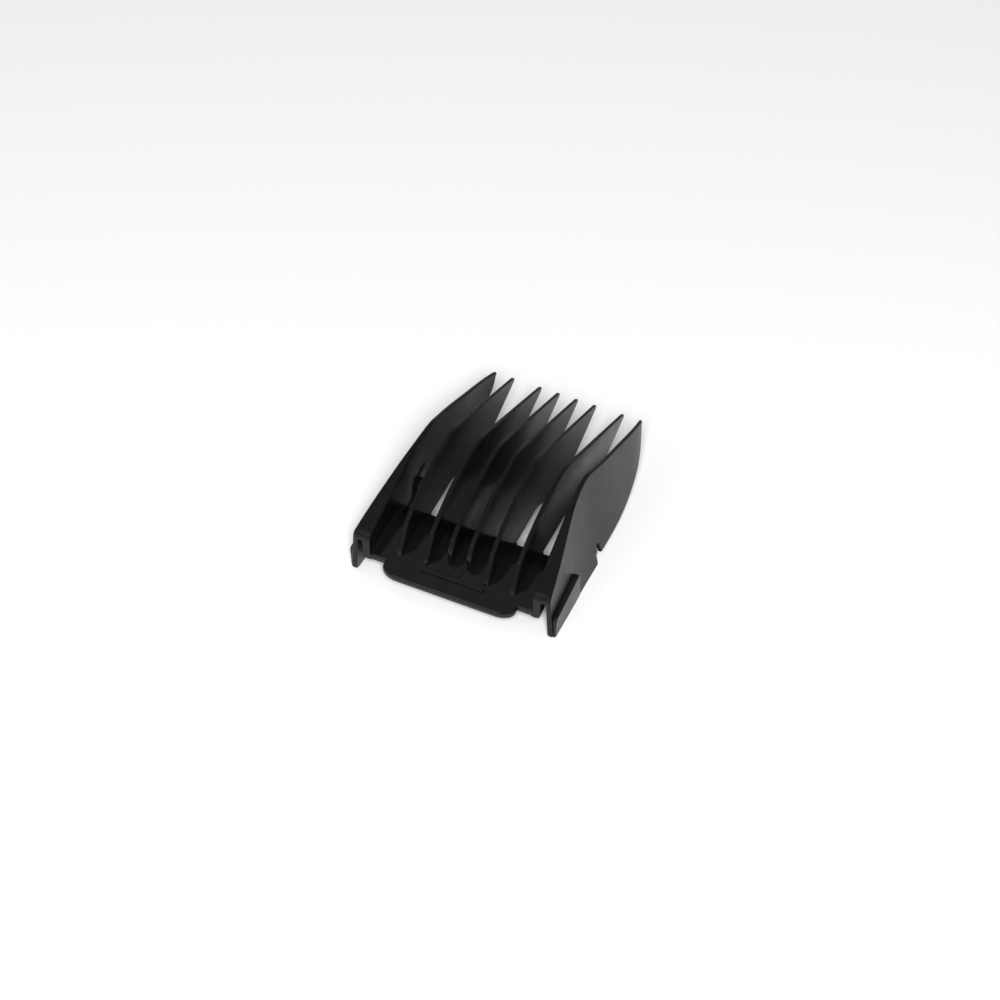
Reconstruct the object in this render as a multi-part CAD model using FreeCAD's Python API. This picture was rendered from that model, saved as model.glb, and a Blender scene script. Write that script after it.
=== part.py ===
import FreeCAD, Part
import math
import os

# Guide comb for a hair clipper: one moulding of black plastic, described region by region.
# X is the width, Y runs from the rear edge of the side walls to the blade tips, Z is up.
# While the shapes are made, y = 0 is the rear edge of the side walls and z = 0 the plane that
# their bottom edges rest on; save() then moves the lot so that the origin is at the middle.

# Overall sizes
rearWidth = 50.0            # outside the side walls at the rear, on the resting plane
tipY = 59.9                 # front end of all eight blades
tipZ = 13.3                 # height of the blade tips
kinkY = 28.4                # highest place of each blade, where its top edge turns down
kinkZ = 23.3

# Base plate, which rises towards the front
plateAngle = 14.7           # degrees, slope of the plate
plateThickness = 1.4
plateRearZ = 6.55           # top face at y = 0
lipRearY = 10.8             # where the plate turns down into the front lip
lipFrontY = 16.4
lipAngle = 15.4             # degrees, downward slope of the lip
plateHalfRear = 20.2        # plate and end walls meet here at y = 0
plateHalfFront = 19.5       # and here at the front of the end walls

# Rear tab and the marks beside it
tabHalf = 16.4
tabReach = 3.1
tabCornerX = 4.2
tabCornerY = 2.3
barLength = 15.4
barWidth = 1.0
barHeight = 0.35
barY = 0.3
discRadius = 1.6
discHeight = 0.15
discY = 3.1

# Inner tines
pitchCentre = 2.33          # the two middle tines
pitchNext = 7.5             # the pair outside them
pitchNextTip = 6.95
pitchOuter = 14.0           # the outer pair
tineRear = 1.15             # thickness at the rear end
tineTip = 0.7               # thickness at the tip
tineRearY = 2.0             # where the top edge leaves the plate
tineShoulderY = 5.7         # end of the steep stretch
tineShoulderZ = 13.8
crownY = 14.6               # corner that the long bow of the rising top edge rounds off
crownZ = 20.45
crownReach = 10.9
kinkReach = 2.5             # how far the rounding of the kink runs each way from its corner
innerKinkY = 27.9           # corner of the underside, in front of the plate
innerKinkZ = 9.0
bellyShare = 0.592          # lowest place of the underside, from that corner to the nose
bellyZ = 5.4
noseReach = 12.4            # the underside runs straight over this length behind the tip
noseZ = 7.0
centreRearY = 4.3           # the two middle tines start further forward
tipRadius = 0.5

# Side walls
wallRear = 1.25             # thickness at the rear
wallTip = 0.8
wallRearZ = 11.7            # height of the rear edge
wallRearCorner = 1.0        # rounding of the upper rear corner
wallBendY = 20.2            # where the long shoulder slope ends
wallBendZ = 21.9
bendReach = 2.8
leanHeight = 22.0           # height at which the upper plan line below is given
wallInset = [(0.0, 1.2), (0.3, 3.35), (0.8, 4.8), (1.2, 5.2), (1.9, 6.0), (3.4, 6.45), (6.0, 6.3)]
                            # from the rear to the tip, how far the outer face lies inside half
                            # the rear width, on the resting plane and at leanHeight
wallMid = 12.0              # places of the second and third of these
wallKnee = 24.0
wallShares = (0.2413, 0.5587, 0.8254)   # places of the next three, from kink to tip
stepY = 25.8                # end of the low stretch of bottom edge
stepZ = 2.8
notchWidth = 1.7
notchTopZ = 4.9
frontEdgeZ = 1.5            # bottom edge in front of the notch
heel = 0.7                  # rounding of the lower rear corner

# Shoulders and end walls, which join the plate to the side walls
shoulderThickness = 1.0
endWallThickness = 1.65
slotLength = 13.0
mergeY = 21.5               # from here the end wall runs out into the side wall
shoulderEndY = 27.5
runOut = 2.4                # how far outside the plate's half width it has run out by then

# Grip pads and snap hooks
padRearY = 0.7
padFrontY = 15.0
padRearTop = 5.9            # height of the pad's upper edge at its rear end
padFrontTop = 7.2
padStandLow = 0.45          # how far the pad's outer face stands out past half the rear width,
padStandHigh = 0.85         # at its lower and upper edge
padCorner = 1.2
hookRearY = 21.0            # the hook hangs from the end wall in front of the lip
hookLength = 3.6
hookBottomZ = 3.0
hookThickness = 1.4
hookRake = 0.8

overcut = 2.0               # how far a cutting block runs past what it cuts

plateSlope = math.tan(math.radians(plateAngle))
lipSlope = math.tan(math.radians(lipAngle))
lipRearZ = plateRearZ + plateSlope * lipRearY
lipFrontZ = lipRearZ - lipSlope * (lipFrontY - lipRearY)
plateDrop = plateThickness / math.cos(math.radians(plateAngle))
lipDrop = plateThickness / math.cos(math.radians(lipAngle))
tabRearY = -tabReach
midY = (tabRearY + tipY) / 2.0


def plateTop(y):
    return plateRearZ + plateSlope * y


def vec(x, y, z):
    return FreeCAD.Vector(x, y, z)


def closedFace(edges):
    return Part.Face(Part.Wire(Part.__sortEdges__(edges)))


def curve(points):
    spline = Part.BSplineCurve()
    spline.interpolate(points)
    return spline.toShape()


def lines(points):
    return [Part.makeLine(a, b) for a, b in zip(points[:-1], points[1:])]


def sidePoint(y, z):
    return vec(0, y, z)


def extrudeAcross(face, low, high):
    moved = face.translated(vec(low, 0, 0))
    return moved.extrude(vec(high - low, 0, 0))


def polygonAcross(points, low, high):
    corners = [sidePoint(y, z) for y, z in points]
    return extrudeAcross(closedFace(lines(corners + corners[:1])), low, high)


def planPrism(points, low, high):
    corners = [vec(x, y, low) for x, y in points]
    return closedFace(lines(corners + corners[:1])).extrude(vec(0, 0, high - low))


def mirrored(shape):
    return shape.mirror(vec(0, 0, 0), vec(1, 0, 0))


def save(name, shape):
    solid = shape.removeSplitter()
    placed = solid.translated(vec(0, -midY, 0))
    if not placed.isValid():
        print("not valid:", name)
    placed.exportStep("parts/" + name + ".step")
    box = placed.BoundBox
    print("%-18s solids %d volume %8.2f  x %.2f..%.2f  y %.2f..%.2f  z %.2f..%.2f" % (
        name, len(placed.Solids), placed.Volume, box.XMin, box.XMax,
        box.YMin, box.YMax, box.ZMin, box.ZMax))


# Wall blank: a thin upright shell that leans inwards, ruled from a low plan line to a high one
def wallPlan(z):
    share = z / leanHeight
    half = rearWidth / 2.0
    places = [0.0, wallMid, wallKnee] + [kinkY + part * (tipY - kinkY) for part in wallShares]
    places.append(tipY + 1.0)
    outer = [vec(half - low - share * (high - low), y, z)
             for y, (low, high) in zip(places, wallInset)]
    inner = []
    for point in outer:
        depth = wallRear + (wallTip - wallRear) * point.y / tipY
        inner.append(vec(point.x - depth, point.y, z))
    return outer, inner


def wallBlank():
    wires = []
    for z in (-overcut, kinkZ + overcut):
        outer, inner = wallPlan(z)
        ends = [Part.makeLine(outer[0], inner[0]), Part.makeLine(outer[-1], inner[-1])]
        wires.append(Part.Wire([curve(outer), ends[1], curve(inner), ends[0]]))
    return Part.makeLoft(wires, True, True)


def insideOfWall():
    # everything on the comb's own side of the wall's inner face
    wires = []
    for z in (-overcut, kinkZ + overcut):
        inner = wallPlan(z)[1]
        far = [vec(0, inner[-1].y, z), vec(0, inner[0].y, z)]
        edges = [curve(inner)] + lines([inner[-1]] + far + [inner[0]])
        wires.append(Part.Wire(edges))
    return Part.makeLoft(wires, True, True)


def frontTop(y):
    # straight top edge from the kink to the tip
    return kinkZ + (tipZ + tipRadius - kinkZ) * (y - kinkY) / (tipY - tipRadius - kinkY)


def tipArc():
    # rounded end, from the straight top edge round to the underside
    top = sidePoint(tipY - tipRadius, frontTop(tipY - tipRadius))
    nose = sidePoint(tipY, tipZ)
    under = sidePoint(tipY - 0.7 * tipRadius, tipZ - 1.1 * tipRadius)
    return top, under, Part.Arc(top, nose, under).toShape()


def rounded(corners, reaches):
    # straight runs whose inner corners are rounded by arcs that start "reach" from the corner
    edges = []
    last = corners[0]
    for before, corner, after, reach in zip(corners, corners[1:], corners[2:], reaches):
        back = before - corner
        ahead = after - corner
        halfAngle = back.getAngle(ahead) / 2.0
        back.normalize()
        ahead.normalize()
        start = corner + back * reach
        end = corner + ahead * reach
        inwards = back + ahead
        inwards.normalize()
        middle = corner + inwards * (reach * (1.0 - math.sin(halfAngle)) / math.cos(halfAngle))
        if (start - last).Length > 1e-6:
            edges.append(Part.makeLine(last, start))
        edges.append(Part.Arc(start, middle, end).toShape())
        last = end
    edges.append(Part.makeLine(last, corners[-1]))
    return edges


def wallProfile():
    top, under, nose = tipArc()
    rearEdge = sidePoint(0, heel)
    edges = rounded([rearEdge, sidePoint(0, wallRearZ), sidePoint(wallBendY, wallBendZ),
                     sidePoint(kinkY, kinkZ), top], [wallRearCorner, bendReach, kinkReach])
    edges.append(nose)
    frontFoot = sidePoint(stepY + notchWidth + 0.6, frontEdgeZ)
    belly = [under, sidePoint(tipY - 2.2, tipZ - 5.6), sidePoint(tipY - 8.5, frontEdgeZ + 3.1),
             sidePoint(tipY - 19.0, frontEdgeZ + 0.75), frontFoot]
    edges.append(curve(belly))
    notchRear = sidePoint(stepY + 0.6, stepZ)
    notchLow = sidePoint(stepY + 0.8, notchTopZ - 0.5)
    notchHigh = sidePoint(stepY + notchWidth, notchTopZ - 0.5)
    edges += lines([frontFoot, notchHigh])
    edges.append(Part.Arc(notchHigh, sidePoint(stepY + 0.4 + notchWidth / 2.0, notchTopZ),
                          notchLow).toShape())
    edges += lines([notchLow, notchRear, sidePoint(stepY, stepZ), sidePoint(stepY, 0),
                    sidePoint(heel, 0)])
    edges.append(Part.Arc(sidePoint(heel, 0), sidePoint(0.3 * heel, 0.3 * heel),
                          rearEdge).toShape())
    return closedFace(edges)


def tineProfile():
    top, under, nose = tipArc()
    foot = sidePoint(tineRearY, plateTop(tineRearY))
    bend = sidePoint(tineShoulderY, tineShoulderZ)
    edges = lines([foot, bend])
    edges += rounded([bend, sidePoint(crownY, crownZ), sidePoint(kinkY, kinkZ), top],
                     [crownReach, kinkReach])
    edges.append(nose)
    innerKink = sidePoint(innerKinkY, innerKinkZ)
    noseStart = sidePoint(tipY - noseReach, noseZ)
    bellyY = innerKinkY + bellyShare * (tipY - noseReach - innerKinkY)
    halfway = sidePoint(0.5 * (innerKinkY + bellyY), 0.3 * innerKinkZ + 0.7 * bellyZ)
    edges += lines([under, noseStart])
    edges.append(curve([noseStart, sidePoint(bellyY, bellyZ), halfway, innerKink]))
    lipCorner = sidePoint(lipFrontY, lipFrontZ - 0.3)
    inPlate = sidePoint(tineRearY, plateTop(tineRearY) - 0.7)
    edges += lines([innerKink, lipCorner, sidePoint(lipRearY, lipRearZ - 0.7), inPlate, foot])
    return closedFace(edges)


def plateSlab(half, rearY):
    points = [(rearY, plateTop(rearY)), (lipRearY, lipRearZ), (lipRearY, lipRearZ - plateDrop),
              (rearY, plateTop(rearY) - plateDrop)]
    return polygonAcross(points, -half, half)


def lipSlab(half):
    rearBottom = lipRearZ - plateDrop
    points = [(lipRearY, lipRearZ), (lipFrontY, lipFrontZ),
              (lipFrontY - 0.35, lipFrontZ - lipDrop + 0.1), (lipRearY, rearBottom)]
    return polygonAcross(points, -half, half)


def endWallLine(y):
    return plateHalfRear + (plateHalfFront - plateHalfRear) * y / lipFrontY


def plateOutline():
    return planPrism([(-endWallLine(0), 0), (endWallLine(0), 0),
                      (endWallLine(lipFrontY), lipFrontY), (-endWallLine(lipFrontY), lipFrontY)],
                     -overcut, kinkZ)


def makeTab():
    half = tabHalf
    inner = half - tabCornerX
    start = tabRearY + tabCornerY
    edges = []
    for side in (-1, 1):
        knee = vec(side * (half - 0.29 * tabCornerX), tabRearY + 0.29 * tabCornerY, 0)
        edges.append(Part.Arc(vec(side * half, start, 0), knee,
                              vec(side * inner, tabRearY, 0)).toShape())
        edges += lines([vec(side * half, start, 0), vec(side * half, 0, 0)])
    edges += lines([vec(-inner, tabRearY, 0), vec(inner, tabRearY, 0)])
    edges += lines([vec(-half, 0, 0), vec(half, 0, 0)])
    prism = closedFace(edges).extrude(vec(0, 0, kinkZ))
    slab = polygonAcross([(tabRearY, plateTop(tabRearY) - 0.5), (tabRearY + 0.7, plateTop(tabRearY + 0.7)),
                          (0, plateTop(0)), (0, plateTop(0) - plateDrop),
                          (tabRearY, plateTop(tabRearY) - plateDrop)], -half, half)
    return slab.common(prism)


def tineWedge(centreRear, centreTip):
    # plan outline of one tine, thinner and a little nearer the middle at its tip
    rear = tineRear / 2.0
    front = tineTip / 2.0
    return planPrism([(centreRear - rear, tineRearY), (centreRear + rear, tineRearY),
                      (centreTip + front, tipY + overcut), (centreTip - front, tipY + overcut)],
                     -overcut, kinkZ + overcut)


def makeTines(plateAndLip):
    blank = extrudeAcross(tineProfile(), -rearWidth / 2.0, rearWidth / 2.0)
    blank = blank.cut(plateAndLip)
    behind = Part.makeBox(rearWidth, centreRearY + overcut, kinkZ + 2 * overcut,
                          vec(-rearWidth / 2.0, -overcut, -overcut))
    rows = [(-pitchOuter, -pitchOuter), (-pitchNext, -pitchNextTip), (-pitchCentre, -pitchCentre),
            (pitchCentre, pitchCentre), (pitchNext, pitchNextTip), (pitchOuter, pitchOuter)]
    for number, (rearX, tipX) in enumerate(rows, 1):
        tine = blank.common(tineWedge(rearX, tipX))
        if number in (3, 4):
            tine = tine.cut(behind)
        save("tine_%d" % number, tine)


def shoulderBlank():
    # band between the end wall's inner face and the side wall, under the wall's top profile,
    # and the part of it that lies below the shoulder
    outline = [(endWallLine(0), 0), (rearWidth / 2.0, 0), (rearWidth / 2.0, shoulderEndY),
               (plateHalfFront + runOut, shoulderEndY), (endWallLine(mergeY), mergeY)]
    band = planPrism(outline, 0, kinkZ)
    profile = extrudeAcross(wallProfile(), 0, rearWidth)
    whole = band.common(insideOfWall()).common(profile)
    return whole, whole.common(profile.translated(vec(0, 0, -shoulderThickness)))


def makePad():
    # upright block with rounded upper corners, cut by the wall inside and a sloped plane outside
    bow = 0.29 * padCorner
    rise = (padFrontTop - padRearTop) / (padFrontY - padRearY)
    rearTop = sidePoint(padRearY + padCorner, padRearTop + rise * padCorner)
    frontTopPoint = sidePoint(padFrontY - padCorner, padFrontTop - rise * padCorner)
    rearSide = sidePoint(padRearY, padRearTop - padCorner)
    frontSide = sidePoint(padFrontY, padFrontTop - padCorner)
    edges = lines([frontSide, sidePoint(padFrontY, 0), sidePoint(padRearY, 0), rearSide])
    edges += lines([rearTop, frontTopPoint])
    edges.append(Part.Arc(rearSide, sidePoint(padRearY + bow, padRearTop - bow), rearTop).toShape())
    edges.append(Part.Arc(frontTopPoint, sidePoint(padFrontY - bow, padFrontTop - bow),
                          frontSide).toShape())
    block = extrudeAcross(closedFace(edges), 0, rearWidth)
    top = max(padRearTop, padFrontTop)
    half = rearWidth / 2.0
    corners = [(0, 0), (half + padStandLow, 0), (half + padStandHigh, top), (0, top)]
    points = [vec(x, 0, z) for x, z in corners]
    bound = closedFace(lines(points + points[:1])).extrude(vec(0, tipY, 0))
    outside = block.common(bound).cut(wallBlank()).cut(insideOfWall())
    return max(outside.Solids, key=lambda solid: solid.BoundBox.XMax)


def makeHook(floor):
    low = endWallLine(hookRearY) + 0.1
    points = [(hookRearY + hookRake, kinkZ), (hookRearY, hookBottomZ),
              (hookRearY + hookLength - hookRake, hookBottomZ), (hookRearY + hookLength, kinkZ)]
    block = polygonAcross(points, low, low + hookThickness)
    return block.common(floor).common(insideOfWall())


def makeSides():
    wall = wallBlank().common(extrudeAcross(wallProfile(), 0, rearWidth))
    blank, under = shoulderBlank()
    shoulder = max(blank.cut(under).Solids, key=lambda solid: solid.Volume)
    floor = polygonAcross([(-overcut, -overcut), (shoulderEndY, -overcut),
                           (shoulderEndY, innerKinkZ), (lipFrontY, lipFrontZ),
                           (lipFrontY - 0.35, lipFrontZ - lipDrop + 0.1),
                           (lipRearY, lipRearZ - plateDrop), (0, plateTop(0) - plateDrop),
                           (-overcut, plateTop(-overcut) - plateDrop)], 0, rearWidth)
    slot = planPrism([(endWallLine(0) + endWallThickness, -overcut), (rearWidth / 2.0, -overcut),
                      (rearWidth / 2.0, slotLength),
                      (endWallLine(slotLength) + endWallThickness, slotLength)],
                     -overcut, kinkZ + overcut)
    endWall = under.cut(floor).cut(slot)
    endWall = max(endWall.Solids, key=lambda solid: solid.Volume)

    pad = makePad()
    hook = makeHook(floor)
    for name, shape in (("side_wall", wall), ("shoulder", shoulder), ("end_wall", endWall),
                        ("grip_pad", pad), ("snap_hook", hook)):
        save("right_" + name, shape)
        save("left_" + name, mirrored(shape))


def makePlateMarks():
    lift = vec(0, 0, plateTop(barY))
    bar = Part.makeBox(barLength, barWidth, barHeight, vec(-barLength / 2.0, 0, 0))
    bar.rotate(vec(0, 0, 0), vec(1, 0, 0), plateAngle)
    save("setting_bar", bar.translated(vec(0, barY, 0) + lift))
    disc = Part.makeCylinder(discRadius, discHeight)
    ring = Part.makeCylinder(0.42 * discRadius, discHeight)
    disc = disc.cut(ring)
    disc.rotate(vec(0, 0, 0), vec(1, 0, 0), plateAngle)
    save("gate_disc", disc.translated(vec(0, discY, plateTop(discY))))


os.makedirs("parts", exist_ok=True)
outline = plateOutline()
plate = plateSlab(rearWidth / 2.0, 0).common(outline)
lip = lipSlab(rearWidth / 2.0).common(outline)
save("base_plate", plate)
save("front_lip", lip)
save("rear_tab", makeTab())
makePlateMarks()
makeSides()
makeTines(plate.fuse(lip))
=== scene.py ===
import math

import bmesh
import bpy
import numpy as np
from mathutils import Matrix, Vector
from mathutils.geometry import delaunay_2d_cdt


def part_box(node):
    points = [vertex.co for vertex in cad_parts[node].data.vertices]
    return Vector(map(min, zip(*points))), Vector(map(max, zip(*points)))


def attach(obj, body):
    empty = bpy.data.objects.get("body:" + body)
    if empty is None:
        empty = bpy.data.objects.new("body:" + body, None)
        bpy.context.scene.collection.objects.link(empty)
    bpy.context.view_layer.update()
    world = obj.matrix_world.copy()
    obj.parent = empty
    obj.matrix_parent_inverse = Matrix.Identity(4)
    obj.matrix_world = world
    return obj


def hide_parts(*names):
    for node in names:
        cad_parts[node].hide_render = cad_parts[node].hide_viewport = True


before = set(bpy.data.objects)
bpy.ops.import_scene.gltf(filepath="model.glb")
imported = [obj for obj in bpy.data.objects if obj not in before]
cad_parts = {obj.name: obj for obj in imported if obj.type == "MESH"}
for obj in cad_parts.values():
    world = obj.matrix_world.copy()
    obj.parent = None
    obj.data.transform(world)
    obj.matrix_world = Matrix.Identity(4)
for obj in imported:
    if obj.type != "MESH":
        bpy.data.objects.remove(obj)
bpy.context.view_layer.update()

# Guide comb for a hair clipper, one glossy black moulding. Sizes in the dictionaries are in
# millimetres: x from the middle plane, y from the rear edge of the side walls, z from the table.

mm = 0.001
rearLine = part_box("right_side_wall")[0].y       # where y = 0 lies in the frame
print("frame loaded:", len(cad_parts), "nodes")


def at(x, y, z):
    return Vector((x * mm, rearLine + y * mm, z * mm))


def roundedPath(corners, reaches, segments=10):
    # corners joined by straight runs, each inner corner rounded over its reach to both sides
    path = [np.array(corners[0], float)]
    for before, corner, after, reach in zip(corners, corners[1:], corners[2:], reaches):
        before, corner, after = (np.array(p, float) for p in (before, corner, after))
        if reach <= 0:
            path.append(corner)
            continue
        back = (before - corner) / np.linalg.norm(before - corner)
        ahead = (after - corner) / np.linalg.norm(after - corner)
        start, end = corner + back * reach, corner + ahead * reach
        half = 0.5 * math.acos(max(-1.0, min(1.0, float(back @ ahead))))
        radius = reach * math.tan(half)
        inwards = (back + ahead) / np.linalg.norm(back + ahead)
        centre = corner + inwards * reach / math.cos(half)
        sweep = math.pi - 2.0 * half
        a, b = start - centre, end - centre
        for step in range(segments + 1):
            share = step / segments
            direction = math.sin((1 - share) * sweep) * a + math.sin(share * sweep) * b
            path.append(centre + direction / np.linalg.norm(direction) * radius)
    path.append(np.array(corners[-1], float))
    return [tuple(p) for p in path]


def smoothThrough(points, count):
    # natural cubic spline through the points, by chord length
    points = np.array(points, float)
    places = np.concatenate([[0], np.cumsum(np.linalg.norm(np.diff(points, axis=0), axis=1))])
    wanted = np.linspace(0, places[-1], count)
    return [tuple(p) for p in np.stack([cubicAt(places, column, wanted) for column in points.T], 1)]


def cubicAt(places, values, wanted):
    places, values = np.array(places, float), np.array(values, float)
    gaps = np.diff(places)
    count = len(places)
    matrix, right = np.eye(count), np.zeros(count)
    for i in range(1, count - 1):
        matrix[i, i - 1:i + 2] = gaps[i - 1], 2 * (gaps[i - 1] + gaps[i]), gaps[i]
        right[i] = 6 * ((values[i + 1] - values[i]) / gaps[i] - (values[i] - values[i - 1]) / gaps[i - 1])
    bend = np.linalg.solve(matrix, right)
    wanted = np.clip(np.atleast_1d(wanted), places[0], places[-1])
    i = np.clip(np.searchsorted(places, wanted) - 1, 0, count - 2)
    h, a, b = gaps[i], places[i + 1] - wanted, wanted - places[i]
    return (bend[i] * a ** 3 + bend[i + 1] * b ** 3) / (6 * h) \
        + (values[i] / h - bend[i] * h / 6) * a + (values[i + 1] / h - bend[i + 1] * h / 6) * b


def evenOut(loop, step):
    # adds points on runs longer than step and drops repeated ones
    result = []
    for a, b in zip(loop, loop[1:] + loop[:1]):
        a, b = np.array(a, float), np.array(b, float)
        length = np.linalg.norm(b - a)
        if length < 1e-4:
            continue
        parts = math.ceil(length / step)
        result += [tuple(a + (b - a) * i / parts) for i in range(parts)]
    return result


sharpestLean = 0.6                              # keeps a sharp corner from moving in too far


def insetLoop(loop, depth):
    # every point moved inwards, for a loop that runs anticlockwise
    points = np.array(loop, float)
    before, after = np.roll(points, 1, 0), np.roll(points, -1, 0)
    first = (points - before) / np.linalg.norm(points - before, axis=1, keepdims=True)
    second = (after - points) / np.linalg.norm(after - points, axis=1, keepdims=True)
    normal = np.stack([-(first[:, 1] + second[:, 1]), first[:, 0] + second[:, 0]], 1)
    normal /= np.maximum(np.linalg.norm(normal, axis=1, keepdims=True), 1e-9)
    lean = np.maximum((normal * np.stack([-first[:, 1], first[:, 0]], 1)).sum(1), sharpestLean)
    moved = points + normal * (depth / lean)[:, None]
    old = after - points
    for _ in range(60):                         # a corner tighter than the depth closes up
        crossed = np.flatnonzero(((np.roll(moved, -1, 0) - moved) * old).sum(1) < -1e-9)
        if not len(crossed):
            break
        for i in crossed:
            j = (i + 1) % len(moved)
            moved[i] = moved[j] = 0.5 * (moved[i] + moved[j])
    return moved


def insidePoints(loop, step):
    # lattice points inside the loop that stay clear of it
    loop = np.array(loop, float)
    low, high = loop.min(0), loop.max(0)
    us, vs = np.meshgrid(np.arange(low[0] + step / 2, high[0], step),
                         np.arange(low[1] + step / 2, high[1], step))
    points = np.stack([us.ravel(), vs.ravel()], 1)
    a, b = loop, np.roll(loop, -1, 0)
    crossings = np.zeros(len(points), int)
    nearest = np.full(len(points), 1e9)
    for start, end in zip(a, b):
        if start[1] != end[1]:
            spans = (start[1] > points[:, 1]) != (end[1] > points[:, 1])
            edgeU = start[0] + (points[:, 1] - start[1]) * (end[0] - start[0]) / (end[1] - start[1])
            crossings += spans & (points[:, 0] < edgeU)
        run = end - start
        share = np.clip(((points - start) @ run) / max(run @ run, 1e-12), 0, 1)
        nearest = np.minimum(nearest, np.linalg.norm(points - start - share[:, None] * run, axis=1))
    return points[(crossings % 2 == 1) & (nearest > 0.45 * step)]


class Shape:
    # points and faces of one piece, gathered before the mesh is made
    def __init__(self):
        self.points = []
        self.faces = []

    def add(self, points, faces):
        base = len(self.points)
        self.points += [Vector(p) for p in points]
        self.faces += [[base + i for i in face] for face in faces]

    def mirrored(self):
        other = Shape()
        other.add([Vector((-p.x, p.y, p.z)) for p in self.points], [f[::-1] for f in self.faces])
        return other


rimShare = 1.08                                 # where the flat face begins, in rim roundings


def addSlab(shape, loop, nearFace, farFace, nearEdge, farEdge, grid=0.0, steps=3):
    # a slab whose outline is the loop, seen anticlockwise from its near side, between two
    # faces given as functions, with both rims rounded
    rings = []
    for edge, mine, other in ((nearEdge, nearFace, farFace), (farEdge, farFace, nearFace)):
        quarter = [0.5 * math.pi * i / steps for i in range(steps + 1)]
        profile = [(edge * rimShare, 0.0)]
        profile += [(edge * (1 - math.sin(t)), edge * (1 - math.cos(t))) for t in quarter]
        side = []
        for inset, depth in profile:
            ring = []
            for u, v in insetLoop(loop, inset):
                a, b = mine(u, v), other(u, v)
                ring.append(a + (b - a) * min(0.5, depth * mm / max((b - a).length, 1e-9)))
            side.append(ring)
        rings.append(side)
    near, far = rings
    allRings = near + far[::-1]
    count = len(loop)
    points = [p for ring in allRings for p in ring]
    faces = []
    for r in range(len(allRings) - 1):
        for i in range(count):
            j = (i + 1) % count
            faces.append([r * count + i, (r + 1) * count + i, (r + 1) * count + j, r * count + j])
    for edge, face, first, flip in ((nearEdge, nearFace, 0, False),
                                    (farEdge, farFace, (len(allRings) - 1) * count, True)):
        inner = insetLoop(loop, edge * rimShare)
        extra = insidePoints(inner, grid) if grid else np.zeros((0, 2))
        flat = [Vector((float(u), float(v))) for u, v in list(inner) + list(extra)]
        made, _, tris, source, _, _ = delaunay_2d_cdt(flat, [], [list(range(count))], 1, 1e-5)
        lookup = []
        for place, origins in zip(made, source):
            if origins and origins[0] < count:
                lookup.append(first + origins[0])
            else:
                lookup.append(len(points))
                points.append(face(place.x, place.y))
        for tri in tris:
            tri = [lookup[i] for i in tri]
            if len(set(tri)) == 3:
                faces.append(tri[::-1] if flip else tri)
    shape.add(points, faces)


def addLoft(shape, sections):
    # closed tube through sections of equally many points, capped at both ends
    count = len(sections[0])
    points = [p for section in sections for p in section]
    faces = []
    for s in range(len(sections) - 1):
        for i in range(count):
            j = (i + 1) % count
            faces.append([s * count + i, s * count + j, (s + 1) * count + j, (s + 1) * count + i])
    faces.append(list(range(count))[::-1])
    faces.append([(len(sections) - 1) * count + i for i in range(count)])
    shape.add(points, faces)


def makeMesh(name, shape, sharpAngle=38.0):
    mesh = bpy.data.meshes.new(name)
    mesh.from_pydata(shape.points, [], shape.faces)
    work = bmesh.new()
    work.from_mesh(mesh)
    bmesh.ops.remove_doubles(work, verts=work.verts, dist=2e-6)
    bmesh.ops.dissolve_degenerate(work, edges=work.edges, dist=1e-6)
    bmesh.ops.holes_fill(work, edges=[edge for edge in work.edges if edge.is_boundary], sides=0)
    bmesh.ops.recalc_face_normals(work, faces=work.faces)
    work.to_mesh(mesh)
    work.free()
    mesh.polygons.foreach_set("use_smooth", [True] * len(mesh.polygons))
    mesh.set_sharp_from_angle(angle=math.radians(sharpAngle))
    mesh.update()
    piece = bpy.data.objects.new(name, mesh)
    bpy.context.scene.collection.objects.link(piece)
    return piece


def finishPiece(piece, material, slotName, *nodes):
    piece.data.materials.clear()
    piece.data.materials.append(material)
    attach(piece, "root")
    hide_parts(*nodes)
    print("piece", piece.name, len(piece.data.polygons), "faces")


def addNode(tree, kind, values=None, links=None, **settings):
    node = tree.nodes.new(kind)
    for key, value in settings.items():
        setattr(node, key, value)
    for key, value in (values or {}).items():
        node.inputs[key].default_value = value
    for key, source in (links or {}).items():
        tree.links.new(source, node.inputs[key])
    return node


def linear(hexColour):
    values = [int(hexColour[i:i + 2], 16) / 255 for i in (1, 3, 5)]
    return [v / 12.92 if v <= 0.04045 else ((v + 0.055) / 1.055) ** 2.4 for v in values] + [1.0]


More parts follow.
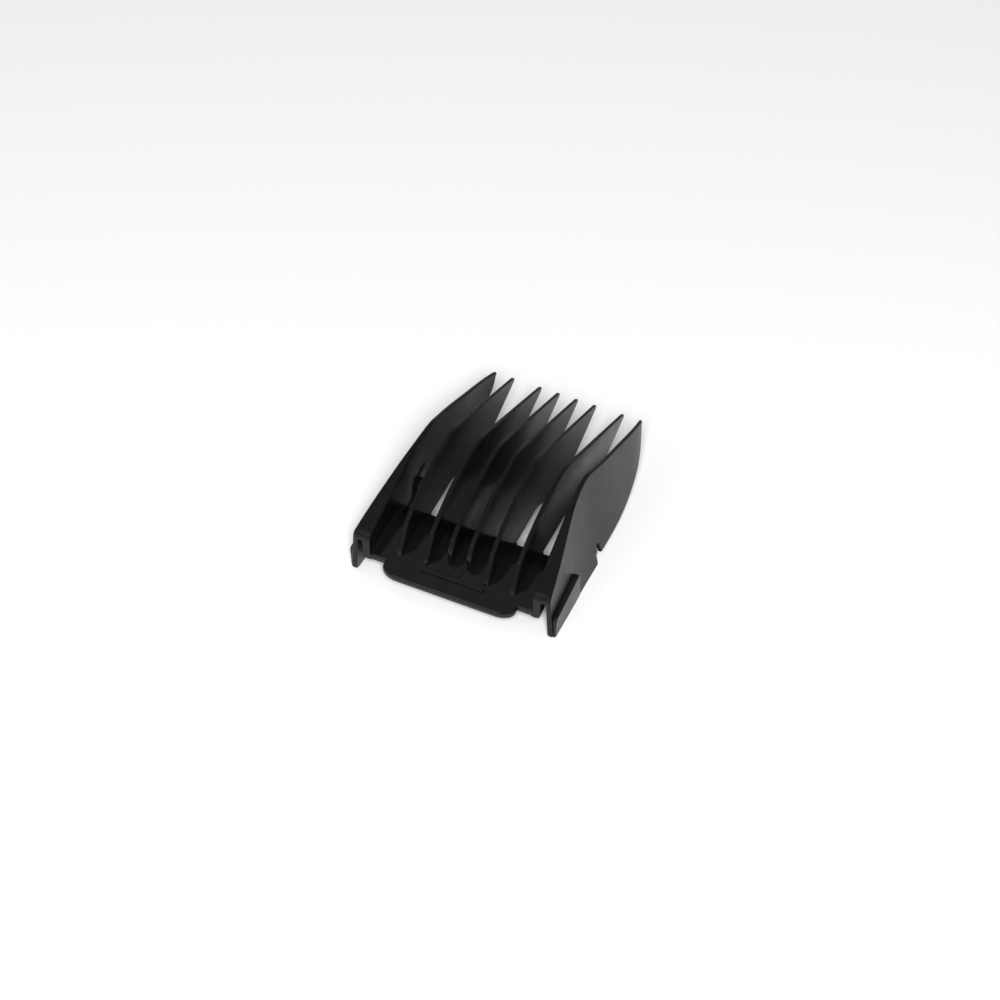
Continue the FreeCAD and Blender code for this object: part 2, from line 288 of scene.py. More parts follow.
def mouldedPlastic(name, finish):
    # injection-moulded black ABS: polished steel mould face, so tight gloss with a faint long
    # waviness, flow marks a few millimetres wide and a fine orange peel of about 0.3 mm
    material = bpy.data.materials.new(name)
    material.use_nodes = True
    tree = material.node_tree
    tree.nodes.clear()
    place = addNode(tree, "ShaderNodeTexCoord").outputs["Object"]
    flow = addNode(tree, "ShaderNodeTexNoise", {"Scale": 1 / (finish["flowMark"] * mm), "Detail": 3.0,
                                                "Distortion": 0.6}, {"Vector": place})
    colour = addNode(tree, "ShaderNodeValToRGB", links={"Fac": flow.outputs["Fac"]})
    colour.color_ramp.elements[0].position = 0.3
    colour.color_ramp.elements[0].color = linear(finish["dark"])
    colour.color_ramp.elements[1].position = 0.72
    colour.color_ramp.elements[1].color = linear(finish["light"])
    # handling scratches: long thin threads, drawn 0.12 mm wide so that they show
    stretched = addNode(tree, "ShaderNodeMapping", links={"Vector": place})
    stretched.inputs["Scale"].default_value = (1 / (0.5 * mm), 1 / (14 * mm), 1 / (1.6 * mm))
    stretched.inputs["Rotation"].default_value = (0.5, 0.15, 0.35)
    threads = addNode(tree, "ShaderNodeTexNoise", {"Scale": 1.0, "Detail": 2.0, "Distortion": 0.3},
                      {"Vector": stretched.outputs["Vector"]})
    scratch = addNode(tree, "ShaderNodeMapRange", {"From Min": 0.69, "From Max": 0.77, "To Min": 0.0,
                                                   "To Max": finish["scratches"]},
                      {"Value": threads.outputs["Fac"]})
    tinted = addNode(tree, "ShaderNodeMix", data_type="RGBA")
    tree.links.new(scratch.outputs["Result"], tinted.inputs["Factor"])
    tree.links.new(colour.outputs["Color"], tinted.inputs["A"])
    tinted.inputs["B"].default_value = linear(finish["scratchTint"])
    peel = addNode(tree, "ShaderNodeTexNoise", {"Scale": 1 / (0.3 * mm), "Detail": 2.0}, {"Vector": place})
    rough = addNode(tree, "ShaderNodeMapRange", {"From Min": 0.3, "From Max": 0.7,
                                                 "To Min": finish["roughness"][0],
                                                 "To Max": finish["roughness"][1]},
                    {"Value": flow.outputs["Fac"]})
    roughAll = addNode(tree, "ShaderNodeMath", links={0: rough.outputs["Result"],
                                                      1: scratch.outputs["Result"]}, operation="ADD")
    wave = addNode(tree, "ShaderNodeTexNoise", {"Scale": 1 / (finish["wave"] * mm), "Detail": 1.0},
                   {"Vector": place})
    sink = addNode(tree, "ShaderNodeBump", {"Strength": 1.0, "Distance": finish["waveDepth"] * mm},
                   {"Height": wave.outputs["Fac"]})
    skin = addNode(tree, "ShaderNodeBump", {"Strength": 1.0, "Distance": finish["peelDepth"] * mm},
                   {"Height": peel.outputs["Fac"], "Normal": sink.outputs["Normal"]})
    shader = addNode(tree, "ShaderNodeBsdfPrincipled",
                     {"IOR": finish["ior"], "Specular IOR Level": finish["gloss"], "Metallic": 0.0},
                     {"Base Color": tinted.outputs["Result"], "Roughness": roughAll.outputs["Value"],
                      "Normal": skin.outputs["Normal"]})
    addNode(tree, "ShaderNodeOutputMaterial", links={"Surface": shader.outputs["BSDF"]})
    return material


plainFinish = {"dark": "#08090a", "light": "#0d0e0f", "scratchTint": "#2a2b2d", "flowMark": 7.0,
               "roughness": (0.09, 0.14), "scratches": 0.12, "wave": 9.0, "waveDepth": 0.04,
               "peelDepth": 0.0003, "ior": 1.5, "gloss": 0.38}
plateAbs = mouldedPlastic("moulded_abs_polished_plate", plainFinish)
tineAbs = mouldedPlastic("moulded_abs_polished_blades", {**plainFinish, "scratches": 0.08, "gloss": 0.28,
                                                         "roughness": (0.2, 0.27)})
wallAbs = mouldedPlastic("moulded_abs_handled_walls", {**plainFinish, "scratches": 0.1, "wave": 12.0,
                                                       "gloss": 0.25, "roughness": (0.3, 0.38)})
padAbs = mouldedPlastic("moulded_abs_worn_grip", {**plainFinish, "scratches": 0.3,
                                                  "roughness": (0.3, 0.42), "light": "#141516"})
print("materials made")


plateSizes = {
    "slope": 14.7, "thickness": 1.4, "rearZ": 6.55,
    "crestY": 10.8, "frontY": 16.4, "lipSlope": 15.4, "crestRounding": 0.9,
    "halfRear": 20.2, "halfFront": 19.5,
    "tabHalf": 16.4, "tabReach": 3.1, "tabCorner": (4.2, 2.3),
    "rimRounding": 0.5, "underRounding": 0.25, "gapFillet": 0.8, "buried": 0.6,
    "ledgeY": 0.02,                             # a hair inside the end walls' rear faces
    "outlineStep": 1.5, "faceGrid": 1.2,
}
tineSizes = {
    "rearThickness": 1.15, "tipThickness": 0.7, "rearY": 2.0, "bluntRearY": 4.3,
    "shoulder": (5.7, 13.8), "crown": (14.6, 20.45), "crownReach": 10.9,
    "kink": (28.4, 23.3), "kinkReach": 2.5, "tip": (59.9, 13.3), "tipRadius": 0.5,
    "innerKink": (27.9, 9.0), "bellyShare": 0.592, "bellyZ": 5.4, "noseReach": 12.4, "noseZ": 7.0,
    "edgeRounding": 0.12, "outlineStep": 1.6, "bellyPoints": 24, "halfwayShare": 0.7, "footReach": 0.12,
    "rootDepth": 0.7, "lipRootDepth": 0.5,      # how far a tine's foot goes into the plate
    "tipShape": [(-0.7, -1.1), (-0.25, -0.75), (0.0, 0.0), (-0.22, 0.62), (-1.0, 1.0)],
    "bluntCut": (0.12, 0.2, 0.15), "nextTipPitch": 6.95,
}
plateGrade = math.tan(math.radians(plateSizes["slope"]))
lipGrade = math.tan(math.radians(plateSizes["lipSlope"]))
crestZ = plateSizes["rearZ"] + plateGrade * plateSizes["crestY"]


def plateTop(y):
    # the slope and the lip, joined by a short rounding at the crest
    up = plateSizes["rearZ"] + plateGrade * y
    down = crestZ - lipGrade * (y - plateSizes["crestY"])
    blend = plateSizes["crestRounding"]
    gap = (y - plateSizes["crestY"]) / blend
    if gap < -1:
        return up
    if gap > 1:
        return down
    return crestZ + (plateGrade - lipGrade) * 0.5 * gap * blend \
        - (plateGrade + lipGrade) * blend * 0.25 * (1 + gap * gap)


def tineHalf(y):
    share = (y - tineSizes["rearY"]) / (tineSizes["tip"][0] + 2.0 - tineSizes["rearY"])
    return 0.5 * (tineSizes["rearThickness"]
                  + (tineSizes["tipThickness"] - tineSizes["rearThickness"]) * share)


def tineCentres():
    # rear centre of each tine, from the frame
    half = tineSizes["rearThickness"] / 2
    centres = []
    for number in range(1, 7):
        low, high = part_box("tine_%d" % number)
        outerX = low.x if number < 4 else high.x
        centres.append(outerX / mm + (half if number < 4 else -half))
    centres[2] = -0.5 * (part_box("tine_4")[0].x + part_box("tine_4")[1].x) / mm
    centres[3] = -centres[2]
    return centres


centres = tineCentres()
drawIn = abs(centres[4]) - tineSizes["nextTipPitch"]    # the second pair runs nearer the middle at its tip


def endLine(y):
    share = y / plateSizes["frontY"]
    return plateSizes["halfRear"] + (plateSizes["halfFront"] - plateSizes["halfRear"]) * share


def plateLoop():
    half, reach = plateSizes["tabHalf"], plateSizes["tabReach"]
    cornerX, cornerY = plateSizes["tabCorner"]
    front, fillet = plateSizes["frontY"], plateSizes["gapFillet"]
    buried, ledgeY = plateSizes["buried"], plateSizes["ledgeY"]
    right = []                                  # one quarter arc of the tab's right corner
    for step in range(11):
        turn = 0.5 * math.pi * step / 10
        right.append((half - cornerX + cornerX * math.sin(turn),
                      -reach + cornerY * (1 - math.cos(turn))))
    loop = [(-x, y) for x, y in right[::-1]] + right
    loop += [(half, ledgeY), (plateSizes["halfRear"] + buried, ledgeY), (endLine(front) + buried, front)]
    stops = [-endLine(front)] + centres + [endLine(front)]
    for number in range(len(stops) - 1, 0, -1):
        high, low = stops[number], stops[number - 1]
        highHalf = tineHalf(front) if number < len(stops) - 1 else 0.0
        lowHalf = tineHalf(front) if number > 1 else 0.0
        turns = [0.5 * math.pi * step / 6 for step in range(7)]
        arc = [(fillet * (1 - math.cos(t)), front + fillet * (1 - math.sin(t))) for t in turns]
        loop += [(high - highHalf - inset, y) for inset, y in arc]     # rounded corners of each gap
        loop += [(low + lowHalf + inset, y) for inset, y in arc[::-1]]
    loop += [(-endLine(front) - buried, front), (-plateSizes["halfRear"] - buried, ledgeY), (-half, ledgeY)]
    return evenOut(loop, plateSizes["outlineStep"])


def makePlate():
    shape = Shape()
    drop = plateSizes["thickness"] / math.cos(math.radians(plateSizes["slope"]))
    addSlab(shape, plateLoop(), lambda x, y: at(x, y, plateTop(y)),
            lambda x, y: at(x, y, plateTop(y) - drop),
            plateSizes["rimRounding"], plateSizes["underRounding"], grid=plateSizes["faceGrid"], steps=4)
    return makeMesh("plate", shape)


finishPiece(makePlate(), plateAbs, "plate_plastic", "base_plate", "front_lip", "rear_tab")


barSizes = {"length": 15.4, "width": 1.0, "height": 0.5, "y": 0.3, "rounding": 0.06, "sunk": 0.25,
            "footRounding": 0.05, "outlineStep": 0.9}


def makeBar():
    shape = Shape()
    half, rear = barSizes["length"] / 2, barSizes["y"]
    front = rear + barSizes["width"]
    loop = evenOut([(-half, rear), (half, rear), (half, front), (-half, front)], barSizes["outlineStep"])
    addSlab(shape, loop, lambda x, y: at(x, y, plateTop(y) + barSizes["height"]),
            lambda x, y: at(x, y, plateTop(y) - barSizes["sunk"]),
            barSizes["rounding"], barSizes["footRounding"])
    return makeMesh("settingBar", shape)


gateSizes = {"radius": 1.6, "rim": 0.26, "well": 0.65, "height": 0.22, "y": 3.1, "sunk": 0.2,
             "bevel": 0.06, "bevelShare": 0.7, "slope": 0.08, "web": 0.12, "floor": 0.02,
             "ringShare": 0.45, "turns": 48}


def makeGateMark():
    # a low disc with a raised rim and a shallow well in its middle
    shape = Shape()
    outer, rim, well, height = (gateSizes[k] for k in ("radius", "rim", "well", "height"))
    web, slope, floor = gateSizes["web"], gateSizes["slope"], gateSizes["floor"]
    ring = height * gateSizes["ringShare"]      # level of the flat between rim and well
    profile = [(outer, -gateSizes["sunk"]), (outer, height * gateSizes["bevelShare"]),
               (outer - gateSizes["bevel"], height), (outer - rim, height),
               (outer - rim - slope, ring), (well + web, ring),
               (well + web - slope, height), (well - web, height), (well - web - slope, floor),
               (floor, floor)]
    turns = gateSizes["turns"]
    points, faces = [], []
    for radius, lift in profile:
        for step in range(turns):
            turn = 2 * math.pi * step / turns
            x, y = radius * math.cos(turn), gateSizes["y"] + radius * math.sin(turn)
            points.append(at(x, y, plateTop(y) + lift))
    for r in range(len(profile) - 1):
        for i in range(turns):
            j = (i + 1) % turns
            faces.append([r * turns + i, r * turns + j, (r + 1) * turns + j, (r + 1) * turns + i])
    faces.append([(len(profile) - 1) * turns + i for i in range(turns)])
    faces.append(list(range(turns))[::-1])
    shape.add(points, faces)
    return makeMesh("gateMark", shape)


finishPiece(makeBar(), plateAbs, "plate_plastic", "setting_bar")
finishPiece(makeGateMark(), plateAbs, "plate_plastic", "gate_disc")


def tipPoints():
    # from the underside round the nose to the straight top edge
    (tipY, tipZ), radius = tineSizes["tip"], tineSizes["tipRadius"]
    return [(tipY + y * radius, tipZ + z * radius) for y, z in tineSizes["tipShape"]]


def tineLoop(rearY):
    kinkY, kinkZ = tineSizes["innerKink"]
    noseY = tineSizes["tip"][0] - tineSizes["noseReach"]
    bellyY, bellyZ = kinkY + tineSizes["bellyShare"] * (noseY - kinkY), tineSizes["bellyZ"]
    share = tineSizes["halfwayShare"]
    halfway = (0.5 * (kinkY + bellyY), (1 - share) * kinkZ + share * bellyZ)
    belly = smoothThrough([(kinkY, kinkZ), halfway, (bellyY, bellyZ), (noseY, tineSizes["noseZ"])],
                          tineSizes["bellyPoints"])
    front, depth = plateSizes["frontY"], tineSizes["rootDepth"]
    low = [(rearY, plateTop(rearY) - depth), (plateSizes["crestY"], crestZ - depth),
           (front, plateTop(front) - tineSizes["lipRootDepth"])]
    low = roundedPath(low + [(kinkY, kinkZ), belly[4]], [0, 0, 1.0], 6)[:-1]
    foot = (tineSizes["rearY"], plateTop(tineSizes["rearY"]))
    tip = tipPoints()
    top = roundedPath([tip[-1], tineSizes["kink"], tineSizes["crown"], tineSizes["shoulder"], foot],
                      [tineSizes["kinkReach"], tineSizes["crownReach"], tineSizes["footReach"]], 16)
    if rearY > foot[0]:                         # the middle pair starts further forward, with a blunt end
        share = (rearY - foot[0]) / (tineSizes["shoulder"][0] - foot[0])
        cut = foot[1] + share * (tineSizes["shoulder"][1] - foot[1])
        inwards, above, below = tineSizes["bluntCut"]
        top = top[:-1] + [(rearY + inwards, cut + above), (rearY, cut - below)]
    return evenOut(low + belly[5:] + tip[:-1] + top, tineSizes["outlineStep"])


def makeBlade(name, rearY):
    shape = Shape()
    edge = tineSizes["edgeRounding"]
    addSlab(shape, tineLoop(rearY), lambda y, z: at(tineHalf(y), y, z), lambda y, z: at(-tineHalf(y), y, z),
            edge, edge)
    return makeMesh(name, shape)


def tineRowTree():
    # six copies of the blade on the pitches given; the middle pair takes the blunt blade and the
    # second pair is drawn in towards its tip
    tree = bpy.data.node_groups.new("tine row", "GeometryNodeTree")
    side = tree.interface
    side.new_socket("Geometry", in_out="INPUT", socket_type="NodeSocketGeometry")
    for label, kind in (("Blade", "NodeSocketObject"), ("Blunt Blade", "NodeSocketObject"),
                        ("Middle Pitch", "NodeSocketFloat"), ("Next Pitch", "NodeSocketFloat"),
                        ("Outer Pitch", "NodeSocketFloat"), ("Draw In", "NodeSocketFloat"),
                        ("Rear Line", "NodeSocketFloat"), ("Length", "NodeSocketFloat"),
                        ("Finish", "NodeSocketMaterial")):
        side.new_socket(label, in_out="INPUT", socket_type=kind)
    side.new_socket("Geometry", in_out="OUTPUT", socket_type="NodeSocketGeometry")
    given = addNode(tree, "NodeGroupInput").outputs
    index = addNode(tree, "GeometryNodeInputIndex").outputs["Index"]
    minus = {}
    for label in ("Middle Pitch", "Next Pitch", "Outer Pitch", "Draw In"):
        minus[label] = addNode(tree, "ShaderNodeMath", {1: -1.0}, {0: given[label]},
                               operation="MULTIPLY").outputs[0]
    places = addNode(tree, "GeometryNodeIndexSwitch", links={"Index": index}, data_type="FLOAT")
    draws = addNode(tree, "GeometryNodeIndexSwitch", links={"Index": index}, data_type="FLOAT")
    for switch in (places, draws):
        for _ in range(4):
            switch.index_switch_items.new()
    order = [minus["Outer Pitch"], minus["Next Pitch"], minus["Middle Pitch"],
             given["Middle Pitch"], given["Next Pitch"], given["Outer Pitch"]]
    for number, source in enumerate(order):
        tree.links.new(source, places.inputs[str(number)])
    tree.links.new(given["Draw In"], draws.inputs["1"])
    tree.links.new(minus["Draw In"], draws.inputs["4"])
    spot = addNode(tree, "ShaderNodeCombineXYZ", links={"X": places.outputs[0]})
    row = addNode(tree, "GeometryNodePoints", {"Count": 6}, {"Position": spot.outputs[0]})
    marked = addNode(tree, "GeometryNodeStoreNamedAttribute", {"Name": "drawIn"},
                     {"Geometry": row.outputs[0], "Value": draws.outputs[0]},
                     data_type="FLOAT", domain="POINT")
    middleLow = addNode(tree, "FunctionNodeCompare", {"B": 1.5}, {"A": index},
                        data_type="FLOAT", operation="GREATER_THAN")
    middleHigh = addNode(tree, "FunctionNodeCompare", {"B": 3.5}, {"A": index},
                         data_type="FLOAT", operation="LESS_THAN")
    middle = addNode(tree, "FunctionNodeBooleanMath",
                     links={0: middleLow.outputs[0], 1: middleHigh.outputs[0]})
    outside = addNode(tree, "FunctionNodeBooleanMath", links={0: middle.outputs[0]}, operation="NOT")
    copies = []
    for label, chosen in (("Blade", outside), ("Blunt Blade", middle)):
        source = addNode(tree, "GeometryNodeObjectInfo", links={"Object": given[label]})
        copies.append(addNode(tree, "GeometryNodeInstanceOnPoints",
                              links={"Points": marked.outputs[0], "Selection": chosen.outputs[0],
                                     "Instance": source.outputs["Geometry"]}))
    joined = addNode(tree, "GeometryNodeJoinGeometry")
    for copy in copies:
        tree.links.new(copy.outputs[0], joined.inputs[0])
    real = addNode(tree, "GeometryNodeRealizeInstances", links={"Geometry": joined.outputs[0]})
    position = addNode(tree, "GeometryNodeInputPosition").outputs[0]
    where = addNode(tree, "ShaderNodeSeparateXYZ", links={0: position})
    along = addNode(tree, "ShaderNodeMath", links={0: where.outputs["Y"], 1: given["Rear Line"]},
                    operation="SUBTRACT")
    share = addNode(tree, "ShaderNodeMath", links={0: along.outputs[0], 1: given["Length"]},
                    operation="DIVIDE")
    kept = addNode(tree, "GeometryNodeInputNamedAttribute", {"Name": "drawIn"}, data_type="FLOAT")
    shift = addNode(tree, "ShaderNodeMath", links={0: share.outputs[0], 1: kept.outputs[0]},
                    operation="MULTIPLY")
    offset = addNode(tree, "ShaderNodeCombineXYZ", links={"X": shift.outputs[0]})
    leaned = addNode(tree, "GeometryNodeSetPosition",
                     links={"Geometry": real.outputs[0], "Offset": offset.outputs[0]})
    again = addNode(tree, "GeometryNodeRealizeInstances", links={"Geometry": leaned.outputs[0]})
    painted = addNode(tree, "GeometryNodeSetMaterial",
                      links={"Geometry": again.outputs[0], "Material": given["Finish"]})
    addNode(tree, "NodeGroupOutput", links={0: painted.outputs[0]})
    return tree


def plainCopy(name, maker):
    # the evaluated result of the maker's modifiers as a mesh of its own
    bpy.context.view_layer.update()
    evaluated = maker.evaluated_get(bpy.context.evaluated_depsgraph_get())
    mesh = bpy.data.meshes.new_from_object(evaluated)
    maker.modifiers.clear()
    piece = bpy.data.objects.new(name, mesh)
    bpy.context.scene.collection.objects.link(piece)
    bpy.data.objects.remove(maker)
    return piece


def makeTines():
    blade, blunt = makeBlade("blade", tineSizes["rearY"]), makeBlade("bluntBlade", tineSizes["bluntRearY"])
    maker = bpy.data.objects.new("tineMaker", bpy.data.meshes.new("tineMaker"))
    bpy.context.scene.collection.objects.link(maker)
    tree = tineRowTree()
    modifier = maker.modifiers.new("tine row", "NODES")
    modifier.node_group = tree
    settings = {"Blade": blade, "Blunt Blade": blunt, "Middle Pitch": centres[3] * mm,
                "Next Pitch": centres[4] * mm, "Outer Pitch": centres[5] * mm, "Draw In": drawIn * mm,
                "Rear Line": rearLine + tineSizes["rearY"] * mm,
                "Length": (tineSizes["tip"][0] + 2.0 - tineSizes["rearY"]) * mm, "Finish": tineAbs}
    for item in tree.interface.items_tree:
        if item.in_out == "INPUT" and item.name in settings:
            modifier[item.identifier] = settings[item.name]
    piece = plainCopy("tines", maker)
    for source in (blade, blunt):
        bpy.data.objects.remove(source)
    piece.data.attributes.remove(piece.data.attributes["drawIn"])
    return piece


finishPiece(makeTines(), tineAbs, "tine_plastic", *["tine_%d" % n for n in range(1, 7)])


wallSizes = {
    "halfRear": 25.0, "rearThickness": 1.25, "tipThickness": 0.8, "rearZ": 11.7, "rearCorner": 1.0,
    "startZ": 3.0,                              # where the outline starts on the rear edge
    "bend": (20.2, 21.9), "bendReach": 5.0, "leanHeight": 22.0,
    "inset": [(0.0, 1.2), (0.3, 3.35), (0.8, 4.8), (1.2, 5.2), (1.9, 6.0), (3.4, 6.45), (6.0, 6.3)],
    "places": (0.0, 12.0, 24.0, 36.0, 46.0, 54.4, 60.9),
    "step": (25.8, 2.8), "notchWidth": 1.7, "notchTopZ": 4.9, "frontEdgeZ": 1.5, "heel": 1.1,
    "ledge": 0.6, "slants": (0.15, 0.55), "stepReaches": [0.25, 0.15, 0.15, 0.45, 0.45, 0.25],
    "belly": [(19.0, 0.75), (8.5, 3.1)], "nose": (2.2, 5.6),   # back from the tip, up from the edge or down
    "edgeRounding": 0.28, "outlineStep": 1.2, "faceGrid": 1.5,
}


def wallOuter(y, z):
    low = cubicAt(wallSizes["places"], [p[0] for p in wallSizes["inset"]], y)[0]
    high = cubicAt(wallSizes["places"], [p[1] for p in wallSizes["inset"]], y)[0]
    return wallSizes["halfRear"] - low - z / wallSizes["leanHeight"] * (high - low)


def wallInner(y, z):
    tipY = tineSizes["tip"][0]
    return wallOuter(y, z) - wallSizes["rearThickness"] \
        + (wallSizes["rearThickness"] - wallSizes["tipThickness"]) * y / tipY


def wallTopPath():
    tip = tipPoints()
    rear = [(0.0, wallSizes["rearZ"]), (0.0, wallSizes["startZ"])]
    return roundedPath([tip[-1], tineSizes["kink"], wallSizes["bend"]] + rear,
                       [tineSizes["kinkReach"], wallSizes["bendReach"], wallSizes["rearCorner"]], 12)


def wallLoop():
    tipY, tipZ = tineSizes["tip"]
    stepY, stepZ = wallSizes["step"]
    footZ, notch = wallSizes["frontEdgeZ"], wallSizes["notchTopZ"]
    tip = tipPoints()
    ledgeY, (rearSlant, frontSlant) = stepY + wallSizes["ledge"], wallSizes["slants"]
    footY, nose = ledgeY + wallSizes["notchWidth"], wallSizes["nose"]
    belly = [(tipY - back, footZ + up) for back, up in wallSizes["belly"]]
    belly = smoothThrough([(footY, footZ)] + belly + [(tipY - nose[0], tipZ - nose[1]), tip[0]], 40)
    low = roundedPath([(0.0, wallSizes["startZ"]), (0.0, 0.0), (stepY, 0.0), (stepY, stepZ),
                       (ledgeY, stepZ), (ledgeY + rearSlant, notch), (footY - frontSlant, notch),
                       (footY, footZ), belly[3]],
                      [wallSizes["heel"]] + wallSizes["stepReaches"], 6)
    return evenOut(low[1:-1] + belly[3:] + tip[1:-1] + wallTopPath(), wallSizes["outlineStep"])


def makeWall(name):
    shape = Shape()
    edge = wallSizes["edgeRounding"]
    addSlab(shape, wallLoop(), lambda y, z: at(wallOuter(y, z), y, z),
            lambda y, z: at(wallInner(y, z), y, z), edge, edge, grid=wallSizes["faceGrid"])
    return shape if name == "right" else shape.mirrored()


for side in ("left", "right"):
    finishPiece(makeMesh(side + "Wall", makeWall(side)), wallAbs, "wall_plastic", side + "_side_wall")


endSizes = {
    "thickness": 1.8, "shoulder": 0.6, "slotLength": 13.0, "slotTopRounding": 0.4,
    "plateFillet": 0.3, "topRounding": 0.3, "lowCorner": 1.1, "runOut": (17.0, 29.0),
    "buried": 0.35, "cover": 0.008, "proud": 0.015, "outerReach": 0.3,
    "floorSink": 0.3, "runOutSink": 0.12, "frontStart": 0.05,
    "leastLedge": 0.05, "rimDepth": 0.15, "backInset": 0.5,
}


def wallTop(y):
    ys, zs = zip(*wallTopPath()[::-1][1:])
    return float(np.interp(y, ys, zs))


def endInner(y, z):
    # inner face of the end wall, which runs out smoothly into the side wall in front of the plate
    start, end = endSizes["runOut"]
    share = min(1.0, max(0.0, (y - start) / (end - start)))
    share = share * share * (3 - 2 * share)
    wall = wallInner(y, z) + endSizes["runOutSink"]
    line = endLine(min(y, start))
    return min(line + share * (wall - line), wall)


def endBottom(y):
    drop = plateSizes["thickness"] / math.cos(math.radians(plateSizes["slope"]))
    front = plateSizes["frontY"]
    if y <= front:
        return plateTop(y) - drop
    low, high = plateTop(front) - drop, tineSizes["innerKink"][1]
    return low + (high - low) * (y - front) / (tineSizes["innerKink"][0] - front)


def endSection(y, slotted):
    top, bottom = wallTop(y) + endSizes["cover"], endBottom(y)
    fillet, sink = endSizes["plateFillet"], endSizes["floorSink"]
    floor = plateTop(y) if y <= plateSizes["frontY"] else bottom + sink
    rounding, buried = endSizes["topRounding"], endSizes["buried"]
    foot = endInner(y, floor + fillet)
    points = [(foot - fillet, floor - sink)]
    for step in range(9):
        turn = 0.5 * math.pi * step / 8
        points.append((foot - fillet + fillet * math.sin(turn), floor + fillet * (1 - math.cos(turn))))
    for step in range(1, 12):
        z = floor + fillet + step / 12 * (top - rounding - floor - fillet)
        points.append((endInner(y, z), z))
    edge = endInner(y, top - rounding)
    for step in range(6):
        turn = 0.5 * math.pi * step / 5
        points.append((edge + rounding * (1 - math.cos(turn)), top - rounding * (1 - math.sin(turn))))
    ledge = edge + rounding
    reach = max(ledge + endSizes["leastLedge"], wallOuter(y, top) - endSizes["outerReach"])
    points += [(0.5 * (ledge + reach), top), (reach, top), (reach, top - endSizes["rimDepth"])]
    if slotted:
        roof, outer = top - endSizes["shoulder"], foot + endSizes["thickness"]
        curl = endSizes["slotTopRounding"]
        points.append((wallInner(y, roof) + buried, roof))
        for step in range(6):
            turn = 0.5 * math.pi * step / 5
            points.append((outer + curl * (1 - math.sin(turn)), roof - curl * (1 - math.cos(turn))))
        points.append((outer, 0.5 * (roof + bottom)))
        low = endSizes["lowCorner"]
    else:
        inset = endSizes["backInset"]
        for step in range(8):
            z = top - inset + (bottom + 2 * inset - top) * step / 7
            points.append((wallInner(y, z) + buried, z))
        outer, low = wallInner(y, bottom) + buried, endSizes["floorSink"]
    for step in range(6):
        turn = 0.5 * math.pi * step / 5
        points.append((outer - low * (1 - math.cos(turn)), bottom + low * (1 - math.sin(turn))))
    points.append((foot - fillet, bottom))
    return [at(x, y, z) for x, z in points]


def makeEndWall(name):
    shape = Shape()
    slotEnd, frontEnd = endSizes["slotLength"], endSizes["runOut"][1]
    rear = -endSizes["proud"]                   # a hair behind the wall's own rear edge
    sections = [endSection(rear + (slotEnd - rear) * step / 20, True) for step in range(21)]
    start = slotEnd + endSizes["frontStart"]    # the slot ends in one short step
    sections += [endSection(start + (frontEnd - start) * step / 34, False) for step in range(35)]
    addLoft(shape, sections)
    return shape if name == "right" else shape.mirrored()


for side in ("left", "right"):
    finishPiece(makeMesh(side + "EndWall", makeEndWall(side)), wallAbs, "wall_plastic",
                side + "_shoulder", side + "_end_wall")


padSizes = {"rearY": 0.7, "frontY": 15.0, "rearTop": 5.9, "frontTop": 7.2, "startZ": 1.0,
            "standLow": 0.45, "standHigh": 0.85, "standOff": 1.27, "fade": 0.025, "buried": 0.4,
            "lowCorner": 0.35, "corner": 1.2, "edgeRounding": 0.25, "buriedRounding": 0.1,
            "outlineStep": 0.9, "faceGrid": 1.5}


def makePad(name):
    shape = Shape()
    rear, front = padSizes["rearY"], padSizes["frontY"]
    half, top = wallSizes["halfRear"], padSizes["frontTop"]
    low, corner = padSizes["lowCorner"], padSizes["corner"]
    start = (rear, padSizes["startZ"])
    loop = roundedPath([start, (rear, 0.0), (front, 0.0), (front, top), (rear, padSizes["rearTop"]), start],
                       [low, low, corner, corner], 8)

    def outer(y, z):                            # upright, but never far off the wall behind it
        upright = half + padSizes["standLow"] + (padSizes["standHigh"] - padSizes["standLow"]) * z / top
        stand = padSizes["standLow"] - padSizes["fade"] * y
        return at(min(upright, wallOuter(y, z) + stand + (padSizes["standOff"] - stand) * z / top), y, z)

    addSlab(shape, evenOut(loop[:-1], padSizes["outlineStep"]), outer,
            lambda y, z: at(wallOuter(y, z) - padSizes["buried"], y, z),
            padSizes["edgeRounding"], padSizes["buriedRounding"], grid=padSizes["faceGrid"])
    return shape if name == "right" else shape.mirrored()


hookSizes = {"rearY": 21.0, "length": 3.6, "bottomZ": 3.0, "topZ": 9.6, "startZ": 6.0, "lean": 0.4,
             "thickness": 1.4, "rake": 0.8, "lowCorner": 0.5, "topCorner": 0.1, "edgeRounding": 0.25,
             "outlineStep": 0.9}


def makeHook(name):
    shape = Shape()
    rear, length, rake = hookSizes["rearY"], hookSizes["length"], hookSizes["rake"]
    bottom, top, edge = hookSizes["bottomZ"], hookSizes["topZ"], hookSizes["edgeRounding"]
    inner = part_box("right_snap_hook")[0].x / mm
    start = (rear + hookSizes["lean"], hookSizes["startZ"])
    low, high = hookSizes["lowCorner"], hookSizes["topCorner"]
    loop = roundedPath([start, (rear, bottom), (rear + length - rake, bottom), (rear + length, top),
                        (rear + rake, top), start], [low, low, high, high], 6)
    addSlab(shape, evenOut(loop[:-1], hookSizes["outlineStep"]),
            lambda y, z: at(inner + hookSizes["thickness"], y, z), lambda y, z: at(inner, y, z), edge, edge)
    return shape if name == "right" else shape.mirrored()


for side in ("left", "right"):
    finishPiece(makeMesh(side + "GripPad", makePad(side)), padAbs, "pad_plastic", side + "_grip_pad")
    finishPiece(makeMesh(side + "SnapHook", makeHook(side)), wallAbs, "wall_plastic", side + "_snap_hook")


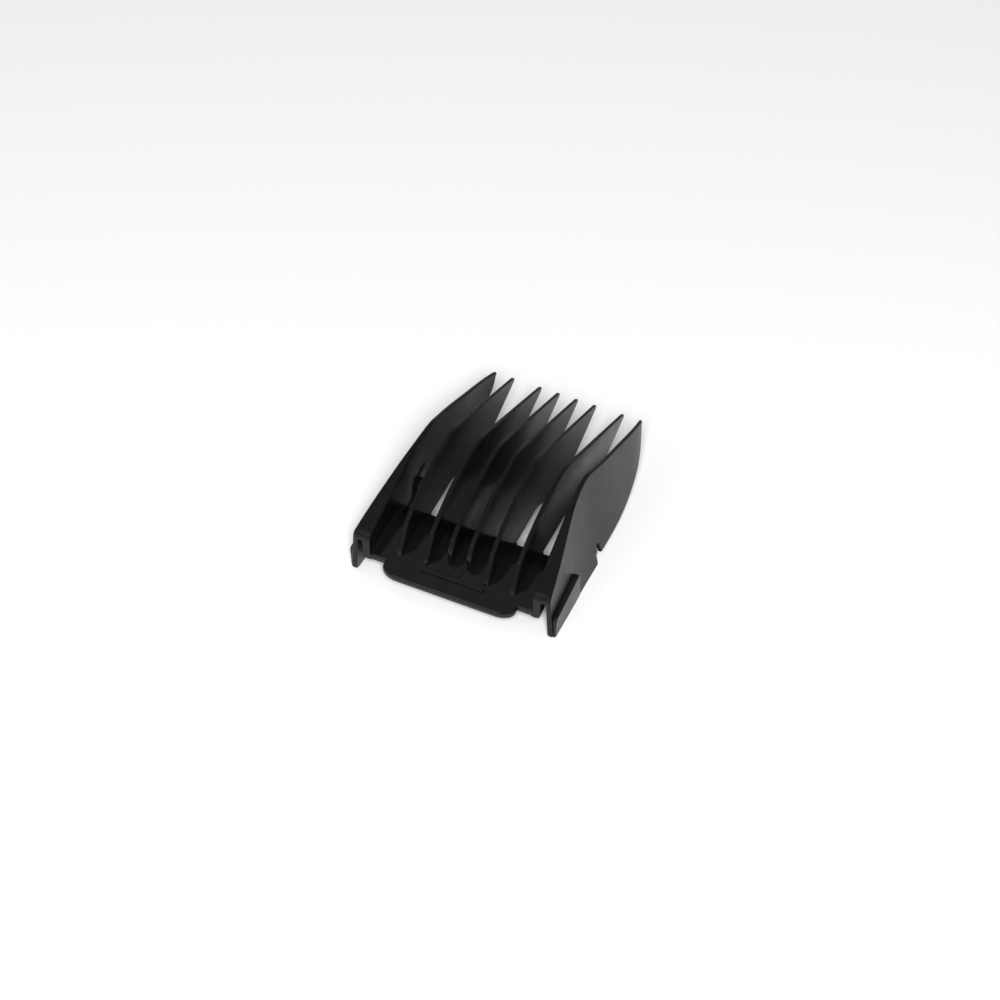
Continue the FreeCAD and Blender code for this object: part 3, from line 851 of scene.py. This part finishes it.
# the studio is in metres, watts and degrees; the target, lens and sensor are in millimetres
studio = {"floorSize": 3.0, "floorLevel": -0.00002, "floorColour": "#f2f2f2", "floorRoughness": 0.9,
          "skyStrength": 0.33,
          "keyDistance": 1.3, "keySize": 0.34, "keyPower": 21.0,
          "rearPlace": (-0.35, -0.9, 0.75), "rearSize": 0.5, "rearPower": 1.2,
          "cameraDistance": 0.8, "azimuth": 26.312, "elevation": 44.141, "clip": (0.05, 20.0),
          "target": (-2.17, 29.0, 5.99), "lens": 127.0, "sensor": 36.0}


def makeFloor():
    half, level = studio["floorSize"] / 2, studio["floorLevel"]
    corners = [(-half, -half, level), (half, -half, level), (half, half, level), (-half, half, level)]
    mesh = bpy.data.meshes.new("floor")
    mesh.from_pydata(corners, [], [(0, 1, 2, 3)])
    floor = bpy.data.objects.new("floor", mesh)
    bpy.context.scene.collection.objects.link(floor)
    material = bpy.data.materials.new("pale_paper_sweep")
    material.use_nodes = True
    shader = material.node_tree.nodes["Principled BSDF"]
    shader.inputs["Base Color"].default_value = linear(studio["floorColour"])
    shader.inputs["Roughness"].default_value = studio["floorRoughness"]
    mesh.materials.append(material)


def addSoftLight(name, place, size, power):
    # a square soft box that looks at the comb
    light = bpy.data.lights.new(name, "AREA")
    light.shape = "SQUARE"
    light.size, light.energy = size, power
    lamp = bpy.data.objects.new(name, light)
    lamp.location = place
    lamp.rotation_euler = (-Vector(place)).to_track_quat("-Z", "Y").to_euler()
    bpy.context.scene.collection.objects.link(lamp)
    return lamp


def makeStudio():
    world = bpy.data.worlds.new("studio")
    world.use_nodes = True
    world.node_tree.nodes["Background"].inputs["Color"].default_value = (1, 1, 1, 1)
    world.node_tree.nodes["Background"].inputs["Strength"].default_value = studio["skyStrength"]
    bpy.context.scene.world = world
    place = viewDirection() * studio["keyDistance"]
    key = addSoftLight("softKey", place, studio["keySize"], studio["keyPower"])
    key.visible_glossy = False                  # behind the camera: it lights the floor, without a glint
    addSoftLight("softRear", studio["rearPlace"], studio["rearSize"], studio["rearPower"])
    makeFloor()


def viewDirection():
    turn, rise = math.radians(studio["azimuth"]), math.radians(studio["elevation"])
    return Vector((math.sin(turn) * math.cos(rise), -math.cos(turn) * math.cos(rise), math.sin(rise)))


def makeCamera():
    towards = viewDirection()
    target = at(*studio["target"])
    camera = bpy.data.cameras.new("camera")
    camera.sensor_width, camera.lens = studio["sensor"], studio["lens"]
    camera.clip_start, camera.clip_end = studio["clip"]
    holder = bpy.data.objects.new("camera", camera)
    holder.location = target + towards * studio["cameraDistance"]
    holder.rotation_euler = (-towards).to_track_quat("-Z", "Y").to_euler()
    bpy.context.scene.collection.objects.link(holder)
    bpy.context.scene.camera = holder


makeStudio()
makeCamera()
bpy.context.scene.view_settings.view_transform = "Standard"
print("studio ready")
